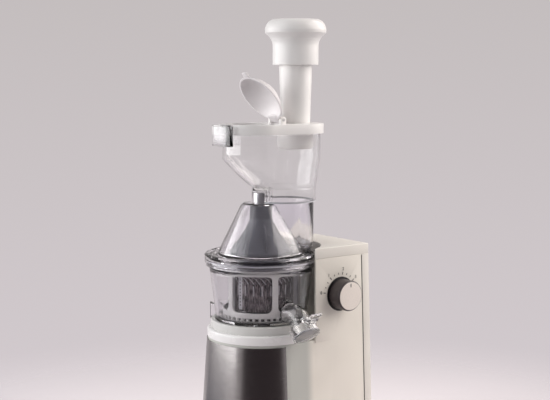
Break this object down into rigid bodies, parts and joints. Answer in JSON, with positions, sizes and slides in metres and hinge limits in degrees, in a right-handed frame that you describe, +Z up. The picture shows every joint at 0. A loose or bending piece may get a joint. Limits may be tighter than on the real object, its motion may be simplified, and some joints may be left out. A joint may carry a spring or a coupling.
{
  "type": "cold press juicer",
  "caption": "Upright slow juicer: geared motor base with speed knob, clear bowl with strainer, brush and screw, wide-mouth hopper with flap and hand pusher.",
  "frame": {"origin": "centre of the whole machine's outline box, on the counter", "axes": "+Z up along the screw, -Y towards the user at the front, +X to the user's right (knob and juice spout)"},
  "size_m": [0.218, 0.2272, 0.621],
  "materials": {
    "white_plastic": "glossy white moulded plastic",
    "steel_wrap": "fine vertical brushing",
    "knob_metal": "spun face, turned side",
    "clear_plastic": "clear moulded plastic",
    "strainer_steel": "perforated sheet",
    "grey_plastic": "satin",
    "screw_plastic": "satin dark grey",
    "silicone": "soft matt",
    "black_plastic": "fine texture",
    "rubber": "matt",
    "motor_steel": "plain machined steel",
    "magnet": "sintered",
    "gearbox_metal": "die cast",
    "gear_plastic": "natural nylon",
    "board": "coated laminate"
  },
  "bodies": {
    "base": {"main_housing": "white_plastic", "rear_cover": "white_plastic", "cord_inlet": "black_plastic", "tower_cap": "white_plastic", "front_panel": "steel_wrap", "base_deck": "white_plastic", "neck_ring": "white_plastic", "bottom_cover": "black_plastic", "feet": "rubber", "cover_screws": "motor_steel", "dial_ring": "black_plastic", "speed_control": "black_plastic", "control_board": "board", "motor_mounts": "rubber", "end_bell": "motor_steel", "motor_can": "motor_steel", "magnets": "magnet", "bearings": "motor_steel", "gearbox_plate": "gearbox_metal", "ring_gear": "gear_plastic", "gearbox_lid": "gearbox_metal", "shaft_seal": "rubber"},
    "rotor": {"rotor_core": "motor_steel", "motor_shaft": "motor_steel", "cooling_fan": "black_plastic"},
    "first_stage": {"first_carrier": "gear_plastic"},
    "output": {"output_shaft": "motor_steel"},
    "knob": {"control_knob": "knob_metal"},
    "bowl_set": {"juicing_bowl": "clear_plastic", "juice_spout": "clear_plastic", "pulp_duct": "clear_plastic", "pulp_plug": "silicone", "lid_seal": "silicone", "cap_pin": "motor_steel", "strainer_mesh": "strainer_steel", "strainer_frame": "grey_plastic"},
    "brush": {"brush_frame": "grey_plastic", "wiper_blades": "silicone"},
    "pinion": {"brush_pinion": "gear_plastic"},
    "cap": {"spout_cap": "clear_plastic", "cap_seal": "silicone"},
    "screw": {"auger": "screw_plastic", "auger_socket": "motor_steel"},
    "lid_set": {"lower_lid": "clear_plastic", "lid_bush": "gear_plastic", "hopper_seal": "silicone", "hopper": "clear_plastic", "cover_latch": "clear_plastic", "top_cover": "white_plastic", "flap_pin": "motor_steel"},
    "flap": {"feed_flap": "white_plastic"},
    "pusher": {"pusher_shaft": "white_plastic", "pusher_knob": "white_plastic"},
    "first_planet_1": {"first_planet_1": "gear_plastic"},
    "second_planet_1": {"second_planet_1": "gear_plastic"},
    "first_planet_2": {"first_planet_2": "gear_plastic"},
    "second_planet_2": {"second_planet_2": "gear_plastic"},
    "first_planet_3": {"first_planet_3": "gear_plastic"},
    "second_planet_3": {"second_planet_3": "gear_plastic"}
  },
  "joints": [
    {"name": "motor_spin", "type": "hinge", "parent": "base", "child": "rotor", "pos_m": [-0.01198, -0.02435, 0], "axis": [0, 0, 1], "continuous": true},
    {"name": "first_carrier_spin", "type": "hinge", "parent": "base", "child": "first_stage", "pos_m": [-0.01198, -0.02435, 0], "axis": [0, 0, 1], "continuous": true},
    {"name": "output_spin", "type": "hinge", "parent": "base", "child": "output", "pos_m": [-0.01198, -0.02435, 0], "axis": [0, 0, 1], "continuous": true},
    {"name": "first_planet_1_spin", "type": "hinge", "parent": "first_stage", "child": "first_planet_1", "pos_m": [0.01052, -0.02435, 0], "axis": [0, 0, 1], "continuous": true},
    {"name": "second_planet_1_spin", "type": "hinge", "parent": "output", "child": "second_planet_1", "pos_m": [0.01052, -0.02435, 0], "axis": [0, 0, 1], "continuous": true},
    {"name": "first_planet_2_spin", "type": "hinge", "parent": "first_stage", "child": "first_planet_2", "pos_m": [-0.02323, -0.00486, 0], "axis": [0, 0, 1], "continuous": true},
    {"name": "second_planet_2_spin", "type": "hinge", "parent": "output", "child": "second_planet_2", "pos_m": [-0.02323, -0.00486, 0], "axis": [0, 0, 1], "continuous": true},
    {"name": "first_planet_3_spin", "type": "hinge", "parent": "first_stage", "child": "first_planet_3", "pos_m": [-0.02323, -0.04384, 0], "axis": [0, 0, 1], "continuous": true},
    {"name": "second_planet_3_spin", "type": "hinge", "parent": "output", "child": "second_planet_3", "pos_m": [-0.02323, -0.04384, 0], "axis": [0, 0, 1], "continuous": true},
    {"name": "bowl_lift", "type": "slide", "parent": "base", "child": "bowl_set", "axis": [0, 0, 1], "range_m": [0, 0.09]},
    {"name": "screw_spin", "type": "hinge", "parent": "bowl_set", "child": "screw", "pos_m": [-0.01198, -0.02435, 0], "axis": [0, 0, 1], "continuous": true},
    {"name": "pinion_spin", "type": "hinge", "parent": "bowl_set", "child": "pinion", "pos_m": [-0.01198, 0.00415, 0], "axis": [0, 0, 1], "continuous": true},
    {"name": "brush_spin", "type": "hinge", "parent": "bowl_set", "child": "brush", "pos_m": [-0.01198, -0.02435, 0], "axis": [0, 0, 1], "continuous": true},
    {"name": "lid_turn", "type": "hinge", "parent": "bowl_set", "child": "lid_set", "pos_m": [-0.01198, -0.02435, 0], "axis": [0, 0, 1], "range_deg": [0, 40]},
    {"name": "pusher_slide", "type": "slide", "parent": "lid_set", "child": "pusher", "axis": [0, 0, 1], "range_m": [-0.04, 0.06]},
    {"name": "flap_swing", "type": "hinge", "parent": "lid_set", "child": "flap", "pos_m": [-0.01198, 0.00265, 0.487], "axis": [-1, 0, 0], "range_deg": [-51, 0]},
    {"name": "cap_swing", "type": "hinge", "parent": "bowl_set", "child": "cap", "pos_m": [0.09762, -0.02435, 0.23652], "axis": [0, -1, 0], "range_deg": [0, 85]},
    {"name": "knob_turn", "type": "hinge", "parent": "base", "child": "knob", "pos_m": [0.06352, 0.05165, 0.256], "axis": [-1, 0, 0], "range_deg": [-135, 135]}
  ],
  "couplings": [
    {"joint": "first_carrier_spin", "follows": "motor_spin", "ratio": 0.2},
    {"joint": "output_spin", "follows": "motor_spin", "ratio": 0.04},
    {"joint": "first_planet_1_spin", "follows": "motor_spin", "ratio": -0.53333},
    {"joint": "second_planet_1_spin", "follows": "motor_spin", "ratio": -0.10667},
    {"joint": "first_planet_2_spin", "follows": "motor_spin", "ratio": -0.53333},
    {"joint": "second_planet_2_spin", "follows": "motor_spin", "ratio": -0.10667},
    {"joint": "first_planet_3_spin", "follows": "motor_spin", "ratio": -0.53333},
    {"joint": "second_planet_3_spin", "follows": "motor_spin", "ratio": -0.10667},
    {"joint": "screw_spin", "follows": "motor_spin", "ratio": 0.04},
    {"joint": "pinion_spin", "follows": "motor_spin", "ratio": -0.068571},
    {"joint": "brush_spin", "follows": "motor_spin", "ratio": -0.018462}
  ]
}
